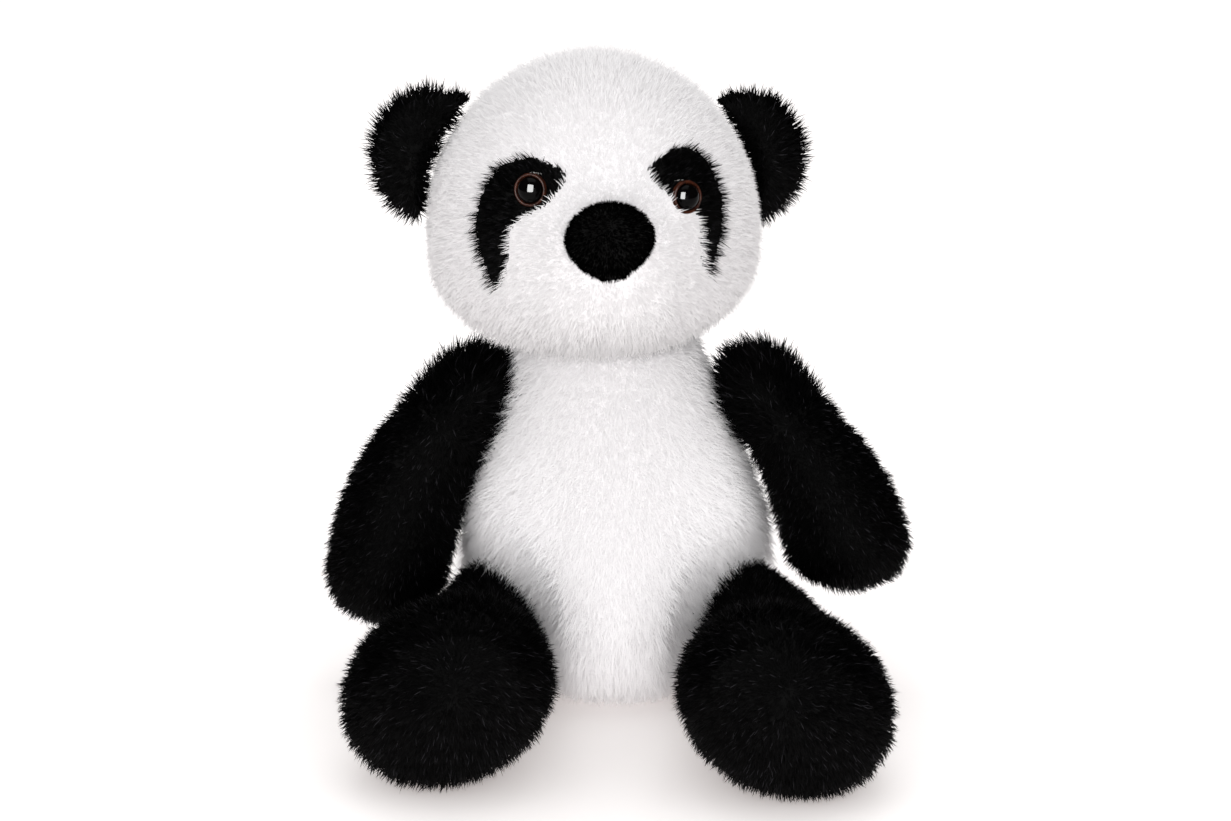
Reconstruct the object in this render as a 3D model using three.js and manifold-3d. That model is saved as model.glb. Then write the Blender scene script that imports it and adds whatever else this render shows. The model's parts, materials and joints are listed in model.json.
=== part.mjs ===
// A sitting plush panda, in millimetres. +Z is up and the toy faces -Y.
// The origin is the middle of the flat seat, on the surface that the toy sits on.
// "Left" pieces are at -X and "right" pieces at +X, as seen from the front.
import * as THREE from "three";
import { mergeVertices } from "three/addons/utils/BufferGeometryUtils.js";
import Module from "manifold-3d";

const wasm = await Module();
wasm.setup();

// ---------------------------------------------------------------- driving dimensions
const GAP = 0.4; // room between two pieces that touch
const SKIN = 4.5; // fur fabric: knitted backing and flattened pile together
const THREAD_R = 0.6; // sewing thread, doubled
const FAR = 400; // larger than the whole toy

const HEAD_AT = [-10, -3, 231]; // middle of the head
const HEAD_YAW = 7; // degrees: the face looks a little towards +X
const HEAD_R = [74.5, 66, 65]; // half width, half depth, half height
const CROWN = 1.75; // roundness of the upper half: 2 is an ellipsoid, less is more pointed
const JAW = 3.1; // roundness of the lower half: more than 2 is fuller
const MUZZLE = { out: 19, wide: 38, tall: 39, down: 20, squareness: 3, spread: 1.6 };
const MUZZLE_SEAM = { top: -24, bottom: -50 }; // heights of the pulled seam's ends, in the head's frame
const FACE_SEAM_Y = 9; // the seam over the crown, through both ears

const NECK_AT = [-4, 0, 163]; // the point that the head turns, tilts and nods about
const NECK_R = 32; // stuffed ball in the neck opening
const NECK_CLEAR = 3; // room round the ball, which the neck thread lies in

const TORSO_SEAM_Y = 8; // side seams, between the belly panel and the back panels
const YOKE_Z = 108; // where the black shoulder yoke meets the white back
const BALL_CLEAR = 3; // room round each shoulder and hip ball

const LEG_ROOM_R = [44, 62, 60]; // half sizes of the hollow that a leg moves in
const LEG_ROOM_SHIFT = [12, -32]; // how far outward and forward of the hip the hollow's middle is
const SHOULDER_RING = 14; // how far inside the shoulder ball's middle its thread lies
const HIP_RING = 12; // how far behind the hip ball's middle its thread lies
// droop: how much lower a feature sits at +X, and how much higher at -X, than the middle of the two
const EAR = { r: 31, tall: 32, thick: 11, pinch: 0.45, at: [68, 13, 14], droop: 3 };
const EAR_HINGE = { at: [71, 13, 8], lean: 0.435, rise: 0.9 }; // the fold line leans with the head
const EAR_FOLDS = [-25, -12, 0, 12, 25]; // degrees: the folds that the head leaves room for
const EYE = { r: 7, pupil: 6, dome: 4.2, stem: 1.9, washer: 7.5, at: [33.5, 16], droop: 2.2 };
const EYE_OUT = [0.42, -0.88, 0.2]; // where the right eye looks
// Each patch against the outline below: how far out and up it sits, its stretch across and its slope.
const PATCHES = {
  left: { outward: 2.3, rise: 0.3, stretch: 1.09, slope: 0.13 },
  right: { outward: 0, rise: 2.9, stretch: 1, slope: 0 },
};
const EYE_DEEP = -8.5; // where an eye's stem ends, measured outwards from the face
const EYE_SEAT = -1.2; // where an eye's dome and rim sit
const WASHER = { low: 1.2, high: 2.6 }; // heights of the washer's faces over the stem's end
const NOSE = { r: [19.8, 10, 17], at: [-2.5, -83, 2], taper: 0.28, drop: 0.12 };
const SOLE_Y = -136; // the seam round each sole
const LEG_SEAM_Z = 40; // the seams between the top and the under panels
const ARM_SEAM_AHEAD = 6; // how far in front of the shoulder's middle an arm's seams lie
const CLOSING_SEAM = { top: 0.48, bottom: 0.66 }; // its ends, as shares of the way down the back

const FORWARD = new THREE.Vector3(0, -1, 0);
const UP = new THREE.Vector3(0, 0, 1);
const TRUNK_FACETS = [26, 16]; // round and along the head and the torso
const TRUNK_INNER_FACETS = [18, 12]; // the same for the inside of their skins and their stuffing
const LIMB_FACETS = [14, 13];
const LIMB_INNER_FACETS = [12, 9];
const BACK_SHARE = 0.25; // share of a limb's rings on the ball behind its joint
const BLUNT_END = 0.8; // how long a limb's rounded end is, in half widths

const LIMBS = {
  arm_left: {
    reference: FORWARD,
    ball: [-63, -2, 139],
    path: [[-63, -2, 139], [-81.5, -5, 116], [-97, -11, 88], [-105, -19, 58], [-108.5, -23, 30]],
    wide: [19.5, 23.5, 27.5, 28, 26],
    deep: [19.5, 21, 23, 24, 23],
    splay: 0,
  },
  arm_right: {
    reference: FORWARD,
    ball: [64.5, -2, 141],
    path: [[64.5, -2, 141], [82, -8, 119], [97.5, -16, 94], [106.5, -24, 71], [108.5, -28, 49]],
    wide: [18.5, 20.5, 26, 28.5, 26.5],
    deep: [18.5, 21, 23, 24, 23],
    splay: 0,
  },
  leg_left: {
    reference: UP,
    ball: [-51.5, -18, 34],
    path: [[-51.5, -18, 34], [-61.5, -57, 33], [-68, -98, 37], [-73.5, -128, 44], [-75.5, -150, 46]],
    wide: [27, 27.5, 33, 46, 50],
    deep: [27, 28, 32, 43, 46],
    splay: 0.24,
  },
};
LIMBS.leg_right = mirrored(LIMBS.leg_left);
LIMBS.leg_right.path = [[53, -18, 34], [69, -58, 35], [71, -102, 35], [73.5, -134, 42], [75, -158, 44]];

// ---------------------------------------------------------------- colours
const LOOKS = {
  white_fur: { color: 0xf4f2f3, roughness: 0.95 },
  black_fur: { color: 0x0d0c0e, roughness: 0.9 },
  stuffing: { color: 0xf1efe9, roughness: 1 },
  nose_velour: { color: 0x080708, roughness: 0.85 },
  eye_black: { color: 0x050405, roughness: 0.05 },
  eye_brown: { color: 0x3a140a, roughness: 0.1 },
  washer_plastic: { color: 0xe6e4de, roughness: 0.4 },
  white_thread: { color: 0xe4e0e0, roughness: 0.8 },
  black_thread: { color: 0x111013, roughness: 0.8 },
};

function mirrored(limb) {
  const flip = ([x, y, z]) => [-x, y, z];
  return { ...limb, ball: flip(limb.ball), path: limb.path.map(flip), splay: -limb.splay };
}

// ---------------------------------------------------------------- solids
function solid(geometry) {
  const bare = new THREE.BufferGeometry();
  bare.setAttribute("position", geometry.getAttribute("position"));
  if (geometry.index) bare.setIndex(geometry.index);
  const merged = mergeVertices(bare, 1e-3);
  return new wasm.Manifold(
    new wasm.Mesh({
      numProp: 3,
      vertProperties: new Float32Array(merged.attributes.position.array),
      triVerts: new Uint32Array(merged.index.array),
    }),
  );
}

function geometryOf(shape) {
  const { numProp, vertProperties, triVerts } = shape.getMesh();
  const points = new Float32Array((vertProperties.length / numProp) * 3);
  for (let i = 0; i < points.length / 3; i++) {
    points.set(vertProperties.subarray(i * numProp, i * numProp + 3), i * 3);
  }
  const geometry = new THREE.BufferGeometry();
  geometry.setAttribute("position", new THREE.BufferAttribute(points, 3));
  geometry.setIndex(new THREE.BufferAttribute(new Uint32Array(triVerts), 1));
  geometry.computeVertexNormals();
  return geometry;
}

// A sphere with its poles on Z whose points are moved by place(unit, share): unit is the point on
// the unit sphere, and share runs from 0 at the +Z pole to 1 at the -Z pole.
function sculpt(around, along, place) {
  const ball = new THREE.SphereGeometry(1, around, along).rotateX(Math.PI / 2);
  const position = ball.getAttribute("position");
  for (let i = 0; i < position.count; i++) {
    const unit = new THREE.Vector3().fromBufferAttribute(position, i);
    const share = Math.acos(THREE.MathUtils.clamp(unit.z, -1, 1)) / Math.PI;
    const moved = place(unit, share);
    position.setXYZ(i, moved.x, moved.y, moved.z);
  }
  return solid(ball);
}

const trunkFacets = (shrink) => (shrink < SKIN ? TRUNK_FACETS : TRUNK_INNER_FACETS);
const limbFacets = (shrink) => (shrink === 0 ? LIMB_FACETS : LIMB_INNER_FACETS);

const sphere = (at, r, around = 18, along = 12) =>
  sculpt(around, along, (unit) => unit.clone().multiplyScalar(r).add(new THREE.Vector3(...at)));

function block(low, high) {
  const size = high.map((h, i) => h - low[i]);
  const middle = high.map((h, i) => (h + low[i]) / 2);
  return solid(new THREE.BoxGeometry(...size).translate(...middle));
}

// Everything to one side of a seam, less half of the gap.
const before = (y) => block([-FAR, -FAR, -FAR], [FAR, y - GAP / 2, FAR]);
const behind = (y) => block([-FAR, y + GAP / 2, -FAR], [FAR, FAR, FAR]);
const leftOf = (x) => block([-FAR, -FAR, -FAR], [x - GAP / 2, FAR, FAR]);
const rightOf = (x) => block([x + GAP / 2, -FAR, -FAR], [FAR, FAR, FAR]);
const below = (z) => block([-FAR, -FAR, -FAR], [FAR, FAR, z - GAP / 2]);
const above = (z) => block([-FAR, -FAR, z + GAP / 2], [FAR, FAR, FAR]);

// A thread: a thin closed or open tube along a list of points.
function thread(points, closed, steps) {
  const section = new THREE.Shape().absarc(0, 0, THREAD_R, 0, 2 * Math.PI);
  const path = new THREE.CatmullRomCurve3(points, closed);
  return solid(
    new THREE.ExtrudeGeometry(section, {
      steps,
      extrudePath: path,
      curveSegments: 2,
      bevelEnabled: false,
    }),
  );
}

// A thread ring of radius r round an axis: a lathe of a small circle, turned so that +Y meets it.
function threadRing(at, axis, r) {
  const circle = new THREE.Path().absarc(r, 0, THREAD_R, 0, 2 * Math.PI);
  const ring = new THREE.LatheGeometry(circle.getPoints(2), 22);
  const turn = new THREE.Quaternion().setFromUnitVectors(
    new THREE.Vector3(0, 1, 0),
    new THREE.Vector3(...axis).normalize(),
  );
  return solid(ring.applyQuaternion(turn).translate(...at));
}

// ---------------------------------------------------------------- limbs
// A smooth value along a limb, through evenly spaced key values.
function along(values) {
  const last = values.length - 1;
  const curve = new THREE.SplineCurve(values.map((v, i) => new THREE.Vector2(i / last, v)));
  return (share) => curve.getPoint(THREE.MathUtils.clamp(share, 0, 1)).y;
}

// A stuffed limb: rings across a bent path. It starts as a ball round the joint and ends blunt.
// shrink takes that much off all round, so that a skin and its stuffing share one shape.
// splay leans the far end's lower half outwards.
function limb({ ball, path, wide, deep, reference, splay }, shrink) {
  const curve = new THREE.CatmullRomCurve3(path.map((p) => new THREE.Vector3(...p)));
  const length = curve.getLength();
  const [wideAt, deepAt] = [along(wide), along(deep)];
  const ballR = wide[0] - shrink;
  const blunt = BLUNT_END * wide[wide.length - 1];
  return sculpt(...limbFacets(shrink), (unit, share) => {
    const round = Math.hypot(unit.x, unit.y);
    const [c, s] = round > 1e-6 ? [unit.x / round, unit.y / round] : [0, 0];
    const behind = share < BACK_SHARE;
    const reach = behind ? 0 : ((share - BACK_SHARE) / (1 - BACK_SHARE)) ** 0.9 * (length - shrink);
    const t = Math.min(1, reach / length);
    const tangent = curve.getTangentAt(t);
    const side = new THREE.Vector3().crossVectors(tangent, reference).normalize();
    const over = new THREE.Vector3().crossVectors(side, tangent).normalize();
    if (behind) {
      const turn = ((share / BACK_SHARE) * Math.PI) / 2;
      return new THREE.Vector3(...ball)
        .addScaledVector(tangent, -Math.cos(turn) * ballR)
        .addScaledVector(side, c * Math.sin(turn) * ballR)
        .addScaledVector(over, s * Math.sin(turn) * ballR);
    }
    const left = Math.min(1, (length - shrink - reach) / blunt);
    const cap = Math.sqrt(Math.max(0, 1 - (1 - left) ** 2));
    const across = c * cap * (wideAt(t) - shrink);
    const upwards = s * cap * (deepAt(t) - shrink);
    return curve
      .getPointAt(t)
      .addScaledVector(tangent, reach - t * length)
      .addScaledVector(side, across - splay * t * upwards)
      .addScaledVector(over, upwards);
  });
}

// ---------------------------------------------------------------- head, in its own frame
const bump = (x, size, squareness = 2) => Math.exp(-(Math.abs(x / size) ** squareness));

// How wide the head is at a unit height, as a share of its widest.
function fullness(height) {
  const roundness = height < 0 ? JAW : CROWN;
  return Math.max(0, 1 - Math.abs(height) ** roundness) ** (1 / roundness);
}

// The head's outline at a unit direction: a narrow crown, full jaws, and a muzzle pushed forward.
function headPoint(unit, shrink) {
  const [rx, ry, rz] = HEAD_R.map((r) => r - shrink);
  const round = Math.hypot(unit.x, unit.y);
  const wider = round > 1e-6 ? fullness(unit.z) / round : 0;
  const [x, z] = [unit.x * wider * rx, unit.z * rz];
  const { out, wide, tall, down, squareness, spread } = MUZZLE;
  const muzzle = out * bump(x, wide, squareness) * bump(z + down, tall, squareness);
  const ahead = THREE.MathUtils.clamp(-unit.y * spread, 0, 1);
  return new THREE.Vector3(x, unit.y * wider * ry - muzzle * ahead, z);
}

const headShape = (shrink) => sculpt(...trunkFacets(shrink), (unit) => headPoint(unit, shrink));

// The point of the face in front of a given x and z.
function surfaceAt(x, z) {
  const [rx, , rz] = HEAD_R;
  const height = z / rz;
  const round = Math.sqrt(1 - height * height);
  const across = (x / rx) * (round / fullness(height));
  const forward = -Math.sqrt(Math.max(0, round * round - across * across));
  return headPoint(new THREE.Vector3(across, forward, height), 0);
}

// The outline of the fur patch round the left eye, seen from the front and measured from the eye.
function patchOutline(shrink) {
  const points = [
    [17, 6], [5, 12], [-8, 9], [-16, -4], [-18, -18], [-14.5, -34],
    [-9.5, -43], [-5.5, -27], [-5, -15], [3, -8], [14, 0],
  ];
  const curve = new THREE.SplineCurve([...points, points[0]].map((p) => new THREE.Vector2(...p)));
  const steps = 22;
  const inset = Array.from({ length: steps }, (_, i) => {
    const tangent = curve.getTangent(i / steps);
    const inward = new THREE.Vector2(-tangent.y, tangent.x);
    return curve.getPoint(i / steps).add(inward.multiplyScalar(shrink));
  });
  return new THREE.Shape(inset);
}

// The patch outline as a long block, pushed through the front of the face.
function patchBlock(side, shrink) {
  const [x, z] = EYE.at;
  const { outward, rise, stretch, slope } = side < 0 ? PATCHES.left : PATCHES.right;
  const sloped = new THREE.Matrix4().set(stretch, 0, 0, 0, slope, 1, 0, 0, 0, 0, 1, 0, 0, 0, 0, 1);
  const flat = new THREE.ExtrudeGeometry(patchOutline(shrink), { depth: FAR, bevelEnabled: false });
  const ahead = solid(flat.applyMatrix4(sloped).rotateX(Math.PI / 2));
  return ahead.translate([-x - outward, 0, z + rise]).scale([-side, 1, 1]);
}

// Turns +Y of a lathe to the outward direction of the eye and puts it on the face.
function atEye(side, profile) {
  const [x, z] = EYE.at;
  const points = profile.map(([radius, height]) => new THREE.Vector2(radius, height));
  const out = new THREE.Vector3(...EYE_OUT).normalize();
  out.x *= side;
  const turn = new THREE.Quaternion().setFromUnitVectors(new THREE.Vector3(0, 1, 0), out);
  const on = surfaceAt(side * x, z - side * EYE.droop);
  return solid(new THREE.LatheGeometry(points, 12).applyQuaternion(turn).translate(on.x, on.y, on.z));
}

// The pieces of a safety eye and the room they need. Profiles run upwards and close on the axis.
function eyePieces(side) {
  const { r, pupil, dome, stem, washer } = EYE;
  const [low, high] = [EYE_DEEP + WASHER.low, EYE_DEEP + WASHER.high];
  const rimLow = EYE.dome / 7;
  const rimHigh = EYE.dome / 3;
  const arc = [0, 1 / 3, 2 / 3, 1].map((share) => (share * Math.PI) / 2);
  const domeProfile = arc.map((a) => [pupil * Math.cos(a), dome * Math.sin(a)]);
  domeProfile[domeProfile.length - 1][0] = 0;
  return {
    dome: atEye(side, [
      [0, EYE_DEEP], [stem, EYE_DEEP], [stem, EYE_SEAT], [pupil, EYE_SEAT], ...domeProfile,
    ]),
    rim: atEye(side, [
      [pupil + GAP, EYE_SEAT], [r, EYE_SEAT], [r, rimLow], [pupil + GAP, rimHigh],
      [pupil + GAP, EYE_SEAT],
    ]),
    washer: atEye(side, [
      [stem + GAP, low], [washer, low], [washer, high], [stem + GAP, high], [stem + GAP, low],
    ]),
    room: atEye(side, [
      [0, EYE_DEEP - GAP], [washer + GAP, EYE_DEEP - GAP], [washer + GAP, high + GAP],
      [stem + GAP, high + 2 * GAP], [stem + GAP, EYE_SEAT - GAP], [r + GAP, EYE_SEAT - GAP],
      [r + GAP, 2 * r], [0, 2 * r],
    ]),
  };
}

// The nose: rounded above, narrower and drawn down below.
function nose() {
  const [rx, ry, rz] = NOSE.r;
  const middle = new THREE.Vector3(...NOSE.at);
  const whole = sculpt(16, 10, (unit) => {
    const low = Math.max(0, -unit.z);
    const x = unit.x * rx * (1 - NOSE.taper * low ** 1.5);
    return new THREE.Vector3(x, unit.y * ry, unit.z * rz * (1 + NOSE.drop * low)).add(middle);
  });
  return whole.subtract(headShape(-GAP));
}

// The pulled seam that runs from under the nose to the chin.
function muzzleThread() {
  const { top, bottom } = MUZZLE_SEAM;
  const points = [0, 0.2, 0.4, 0.6, 0.8, 1].map((share) => {
    const p = surfaceAt(0, THREE.MathUtils.lerp(top, bottom, share));
    const out = new THREE.Vector3(0, p.y, p.z).normalize();
    return p.addScaledVector(out, THREAD_R + GAP);
  });
  return thread(points, false, 14);
}

// A turn about an ear's fold line.
function earTurn(side, degrees) {
  const { at, lean, rise } = EAR_HINGE;
  const hinge = new THREE.Vector3(side * at[0], at[1], at[2]);
  const axis = new THREE.Vector3(lean, 0, -side * rise).normalize();
  const turn = new THREE.Matrix4().makeRotationAxis(axis, THREE.MathUtils.degToRad(degrees));
  const away = new THREE.Matrix4().makeTranslation(hinge.clone().negate());
  return new THREE.Matrix4().makeTranslation(hinge).multiply(turn).multiply(away);
}

// One ear: a lens across X and Z, pinched where it is sewn to the head, in a front and a back half.
// The head is cut away from it all through its fold.
function earPieces(side) {
  const { r, tall, thick, pinch, at, droop } = EAR;
  const middle = new THREE.Vector3(side * at[0], at[1], at[2] - side * droop);
  const lens = sculpt(16, 10, (unit) => {
    const outward = THREE.MathUtils.smoothstep(unit.x * side, -0.2, 0.5);
    const y = unit.y * thick * THREE.MathUtils.lerp(pinch, 1, outward);
    return new THREE.Vector3(unit.x * r, y, unit.z * tall).add(middle);
  });
  const room = headShape(-2 * GAP);
  const folded = EAR_FOLDS.map((degrees) => room.transform(earTurn(side, degrees).elements));
  const free = lens.subtract(wasm.Manifold.union(folded));
  return { front: free.intersect(before(at[1])), back: free.intersect(behind(at[1])) };
}

// ---------------------------------------------------------------- torso
// The pear that the body is. Its half widths, half depths and middles go from the seat upwards.
const TORSO = {
  bottom: -14,
  top: 172,
  wide: along([46, 66, 74, 71, 62, 54, 48, 41]),
  deep: along([44, 60, 65, 62, 53, 43, 38, 33]),
  middle: along([-3, -5, -6, -5, -3, -1, 0, 0]),
  fullness: 0.45,
};

function torsoPoint(unit, share, shrink) {
  const rise = (1 - Math.cos(share * Math.PI)) / 2;
  const z = THREE.MathUtils.lerp(TORSO.top - shrink, TORSO.bottom + shrink, rise);
  const level = (z - TORSO.bottom) / (TORSO.top - TORSO.bottom);
  const round = Math.hypot(unit.x, unit.y);
  const [c, s] = round > 1e-6 ? [unit.x / round, unit.y / round] : [0, 0];
  const full = Math.sin(share * Math.PI) ** TORSO.fullness;
  const x = c * full * (TORSO.wide(level) - shrink);
  const y = TORSO.middle(level) + s * full * (TORSO.deep(level) - shrink);
  return new THREE.Vector3(x, y, z);
}

function torsoShape(shrink) {
  const pear = sculpt(...trunkFacets(shrink), (unit, share) => torsoPoint(unit, share, shrink));
  return pear.subtract(block([-FAR, -FAR, -FAR], [FAR, FAR, shrink]));
}

// The hand-sewn seam that closes the back after stuffing: a thread over the middle back seam.
function closingThread() {
  const { top, bottom } = CLOSING_SEAM;
  const points = [0, 0.2, 0.4, 0.6, 0.8, 1].map((way) => {
    const share = THREE.MathUtils.lerp(top, bottom, way);
    const unit = new THREE.Vector3(0, Math.sin(share * Math.PI), Math.cos(share * Math.PI));
    return torsoPoint(unit, share, 0).add(new THREE.Vector3(0, THREAD_R + GAP, 0));
  });
  return thread(points, false, 14);
}

// The hollow in the body that a leg moves in: wide enough for its lift and its outward turn.
function legRoom({ ball: [x, y, z] }) {
  const [outward, forward] = LEG_ROOM_SHIFT;
  const middle = new THREE.Vector3(x + Math.sign(x) * outward, y + forward, z);
  const half = new THREE.Vector3(...LEG_ROOM_R);
  return sculpt(...TRUNK_INNER_FACETS, (unit) => unit.clone().multiply(half).add(middle));
}

const socket = (ball, r) => sphere(ball, r + BALL_CLEAR);

// ---------------------------------------------------------------- assembly
const toy = new THREE.Group();
const head = new THREE.Group();
head.position.set(...HEAD_AT);
head.rotation.z = THREE.MathUtils.degToRad(HEAD_YAW);
toy.add(head);

function add(group, name, look, shape) {
  const mesh = new THREE.Mesh(geometryOf(shape), new THREE.MeshStandardMaterial({ ...LOOKS[look] }));
  mesh.name = name;
  group.add(mesh);
}

function addHead() {
  const neckLocal = head.worldToLocal(new THREE.Vector3(...NECK_AT));
  const neck = sphere(neckLocal.toArray(), NECK_R + NECK_CLEAR);
  const skin = headShape(0).subtract(headShape(SKIN)).subtract(neck);
  let fill = headShape(SKIN + GAP).subtract(neck);
  let face = skin.intersect(before(FACE_SEAM_Y));
  add(head, "back_of_head_panel", "white_fur", skin.intersect(behind(FACE_SEAM_Y)));
  for (const [name, side] of [["left", -1], ["right", 1]]) {
    const eye = eyePieces(side);
    const half = side < 0 ? leftOf(0) : rightOf(0);
    const patch = face.intersect(patchBlock(side, GAP)).intersect(half).subtract(eye.room);
    face = face.subtract(patchBlock(side, 0)).subtract(eye.room);
    fill = fill.subtract(eye.room);
    add(head, `face_panel_${name}`, "white_fur", face.intersect(half));
    add(head, `eye_patch_${name}`, "black_fur", patch);
    add(head, `eye_dome_${name}`, "eye_black", eye.dome);
    add(head, `eye_rim_${name}`, "eye_brown", eye.rim);
    add(head, `eye_lock_washer_${name}`, "washer_plastic", eye.washer);
    const ear = earPieces(side);
    add(head, `ear_front_panel_${name}`, "black_fur", ear.front);
    add(head, `ear_back_panel_${name}`, "black_fur", ear.back);
  }
  add(head, "head_stuffing", "stuffing", fill);
  add(head, "nose_pad", "nose_velour", nose());
  add(head, "muzzle_seam_thread", "white_thread", muzzleThread());
}

function addNeck() {
  add(toy, "neck_stuffing", "stuffing", sphere(NECK_AT, NECK_R));
  add(toy, "neck_seam_thread", "white_thread", threadRing(NECK_AT, [0, 0, 1], NECK_R + NECK_CLEAR / 2));
}

function addTorso() {
  const cutters = [sphere(NECK_AT, NECK_R + NECK_CLEAR)];
  for (const [name, shape] of Object.entries(LIMBS)) {
    cutters.push(socket(shape.ball, shape.wide[0]));
    if (name.startsWith("leg")) cutters.push(legRoom(shape));
  }
  const room = wasm.Manifold.union(cutters);
  const skin = torsoShape(0).subtract(torsoShape(SKIN)).subtract(room);
  const back = skin.intersect(behind(TORSO_SEAM_Y));
  const white = back.intersect(below(YOKE_Z));
  add(toy, "torso_front_panel", "white_fur", skin.intersect(before(TORSO_SEAM_Y)));
  add(toy, "torso_back_panel_left", "white_fur", white.intersect(leftOf(0)));
  add(toy, "torso_back_panel_right", "white_fur", white.intersect(rightOf(0)));
  add(toy, "shoulder_yoke", "black_fur", back.intersect(above(YOKE_Z)));
  add(toy, "torso_stuffing", "stuffing", torsoShape(SKIN + GAP).subtract(room));
  add(toy, "closing_seam_thread", "white_thread", closingThread());
}

function addLimb(name, shape) {
  const isLeg = name.startsWith("leg");
  const floor = block([-FAR, -FAR, -FAR], [FAR, FAR, 0]);
  const outer = isLeg ? limb(shape, 0).subtract(floor) : limb(shape, 0);
  const skin = outer.subtract(limb(shape, SKIN));
  const fill = limb(shape, SKIN + GAP);
  if (isLeg) {
    const rest = skin.intersect(behind(SOLE_Y));
    add(toy, `${name}_sole_panel`, "black_fur", skin.intersect(before(SOLE_Y)));
    add(toy, `${name}_top_panel`, "black_fur", rest.intersect(above(LEG_SEAM_Z)));
    add(toy, `${name}_under_panel`, "black_fur", rest.intersect(below(LEG_SEAM_Z)));
  } else {
    const seam = shape.ball[1] - ARM_SEAM_AHEAD;
    add(toy, `${name}_front_panel`, "black_fur", skin.intersect(before(seam)));
    add(toy, `${name}_back_panel`, "black_fur", skin.intersect(behind(seam)));
  }
  add(toy, `${name}_stuffing`, "stuffing", fill);
}

// The ring of thread in the gap between a joint ball and its socket, offset along an axis.
function addSeamRing(name, shape, axis, offset) {
  const middle = new THREE.Vector3(...shape.ball).addScaledVector(new THREE.Vector3(...axis), offset);
  const r = Math.sqrt((shape.wide[0] + BALL_CLEAR / 2) ** 2 - offset ** 2);
  add(toy, name, "black_thread", threadRing(middle.toArray(), axis, r));
}

addHead();
addNeck();
addTorso();
for (const [name, shape] of Object.entries(LIMBS)) addLimb(name, shape);
for (const [side, inward] of [["left", 1], ["right", -1]]) {
  addSeamRing(`shoulder_seam_thread_${side}`, LIMBS[`arm_${side}`], [inward, 0, 0], SHOULDER_RING);
  addSeamRing(`hip_seam_thread_${side}`, LIMBS[`leg_${side}`], [0, 1, 0], HIP_RING);
}

export default toy;
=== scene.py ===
"""Looks of the sitting plush panda: stuffed skins under a pile of real strands, eyes and a velour nose.

Every length is in metres. The panda faces -Y, and +Z is up. Each skin grows from its body's own CAD solids:
they are joined, remeshed, smoothed, inflated as cloth between the pinned seams, and subdivided. The pile is
then planted on the skin, strand by strand, and each strand belongs to the CAD panel that is nearest to it.
"""
import json
import math

import bmesh
import bpy
import numpy as np
from mathutils import Matrix, Vector
from mathutils.bvhtree import BVHTree
from mathutils.kdtree import KDTree

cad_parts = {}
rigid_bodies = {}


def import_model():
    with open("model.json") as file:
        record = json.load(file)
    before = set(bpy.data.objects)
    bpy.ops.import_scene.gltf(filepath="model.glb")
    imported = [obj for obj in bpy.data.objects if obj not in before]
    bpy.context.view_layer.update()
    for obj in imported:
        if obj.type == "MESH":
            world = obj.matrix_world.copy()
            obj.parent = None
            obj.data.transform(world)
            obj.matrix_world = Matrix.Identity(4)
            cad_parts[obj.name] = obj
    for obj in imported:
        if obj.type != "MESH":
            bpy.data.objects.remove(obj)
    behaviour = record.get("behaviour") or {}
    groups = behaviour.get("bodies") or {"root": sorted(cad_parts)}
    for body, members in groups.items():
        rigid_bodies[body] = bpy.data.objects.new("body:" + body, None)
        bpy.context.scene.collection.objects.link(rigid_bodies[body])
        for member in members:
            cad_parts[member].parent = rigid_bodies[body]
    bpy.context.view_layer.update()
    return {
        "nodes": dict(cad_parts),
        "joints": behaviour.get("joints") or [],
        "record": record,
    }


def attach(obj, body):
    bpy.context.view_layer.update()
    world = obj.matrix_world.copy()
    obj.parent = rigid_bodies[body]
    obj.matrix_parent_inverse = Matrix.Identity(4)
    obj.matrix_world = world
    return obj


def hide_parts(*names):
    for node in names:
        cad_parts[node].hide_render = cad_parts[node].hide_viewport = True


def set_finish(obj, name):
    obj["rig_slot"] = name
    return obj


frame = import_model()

MM = 0.001
NODES = frame["nodes"]
BODIES = frame["record"]["behaviour"]["bodies"]
NODE_SLOT = {row["node"]: row["material_slot"] for row in frame["record"]["subparts"]}
JOINT_AT = {joint["name"]: np.array(joint["pos_m"]) for joint in frame["joints"] if "pos_m" in joint}
SIDES = (("left", -1.0), ("right", 1.0))

SEAM_SINK = 9.0 * MM  # how deep the muzzle's thread lies under the CAD surface
SKIN_DEPTH = 2.6 * MM  # how far the backing lies under the CAD surface, which is the flattened pile
PUFF_CAP = 3.0 * MM  # the most that the cloth simulation may move a point
SLACK = 0.7 * MM  # how much smaller a skin starts, before the simulation swells it
SEAM_WIDTH = 2.6 * MM  # half width of the band along a seam that the simulation holds still
STILL = 5 * MM  # the same round the nose and the eyes
FLOOR_GAP = 0.3 * MM
THINNER = {  # share of the pile's density on the panels that are turned away or underneath
    "back_of_head_panel": 0.75,
    "torso_back_panel_left": 0.75,
    "torso_back_panel_right": 0.75,
    "leg_left_under_panel": 0.65,
    "leg_right_under_panel": 0.65,
}
REACH = 20 * MM  # pile grows no farther than this from the panel that it belongs to
HALVED = {"torso_front_panel"}  # the panels whose pile is made as a left and a right half, as it is so large


# ------------------------------------------------------------------------------------------ mesh helpers
def arrays_of(mesh):
    """A mesh's points and triangles as arrays."""
    mesh.calc_loop_triangles()
    points = np.empty(len(mesh.vertices) * 3)
    mesh.vertices.foreach_get("co", points)
    triangles = np.empty(len(mesh.loop_triangles) * 3, np.int64)
    mesh.loop_triangles.foreach_get("vertices", triangles)
    return points.reshape(-1, 3), triangles.reshape(-1, 3)


def normals_of(mesh):
    normals = np.empty(len(mesh.vertices) * 3)
    mesh.vertices.foreach_get("normal", normals)
    return normals.reshape(-1, 3)


def unit(vectors):
    return vectors / np.maximum(np.linalg.norm(vectors, axis=-1, keepdims=True), 1e-12)


def add_object(name, mesh):
    obj = bpy.data.objects.new(name, mesh)
    bpy.context.scene.collection.objects.link(obj)
    return obj


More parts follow.
